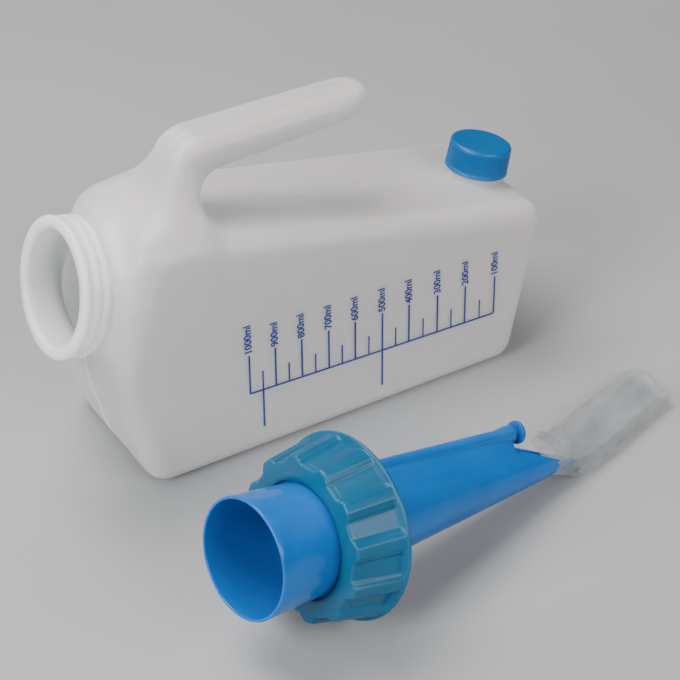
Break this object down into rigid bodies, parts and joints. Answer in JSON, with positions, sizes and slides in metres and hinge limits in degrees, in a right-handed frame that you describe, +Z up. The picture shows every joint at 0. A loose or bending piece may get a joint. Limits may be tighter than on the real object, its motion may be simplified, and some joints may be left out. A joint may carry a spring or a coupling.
{
  "type": "urine bottle",
  "caption": "Translucent wedge-shaped urine bottle with a top handle, a screw drain cap and a separate funnel insert with a clamp ring and film valve.",
  "frame": {"origin": "middle of the bottle's flat underside", "axes": "+Z up; +X from the wide neck towards the closed base end with the drain cap; the insert lies on the -Y side"},
  "size_m": [0.2611, 0.2169, 0.1469],
  "materials": {
    "frosted_polyethylene": "translucent satin",
    "cap_polypropylene": "satin",
    "liner_foam": "matt",
    "funnel_polypropylene": "glossy",
    "gasket_silicone": "matt",
    "ring_polyethylene": "satin",
    "vent_disc_polypropylene": "glossy",
    "clear_film": "clear glossy"
  },
  "bodies": {
    "bottle": {"bottle_shell": "frosted_polyethylene"},
    "drain_cap_seal": {"drain_cap_liner": "liner_foam"},
    "drain_cap": {"drain_cap": "cap_polypropylene"},
    "insert": {"funnel": "funnel_polypropylene", "flange_gasket": "gasket_silicone", "valve_film": "clear_film"},
    "clamp_ring": {"clamp_ring": "ring_polyethylene"},
    "vent_disc": {"vent_disc": "vent_disc_polypropylene"}
  },
  "joints": [
    {"name": "drain_cap_lift", "type": "slide", "parent": "bottle", "child": "drain_cap_seal", "axis": [0.2122, 0, 0.9772], "range_m": [0, 0.00605]},
    {"name": "drain_cap_turn", "type": "hinge", "parent": "drain_cap_seal", "child": "drain_cap", "pos_m": [0.0969, 0, 0.07835], "axis": [0.2122, 0, 0.9772], "range_deg": [0, 720]},
    {"name": "insert_lift", "type": "slide", "parent": "bottle", "child": "insert", "axis": [0, 0, 1], "range_m": [0, 0.15]},
    {"name": "clamp_ring_turn", "type": "hinge", "parent": "insert", "child": "clamp_ring", "pos_m": [-0.1094, -0.1448, 0.0491], "axis": [0.9646, 0.1407, -0.2233], "continuous": true},
    {"name": "vent_disc_close", "type": "slide", "parent": "insert", "child": "vent_disc", "axis": [-0.9551, -0.127, 0.2676], "range_m": [0, 0.0023]}
  ],
  "couplings": [
    {"joint": "drain_cap_lift", "follows": "drain_cap_turn", "m_per_rad": 0.00047746}
  ]
}
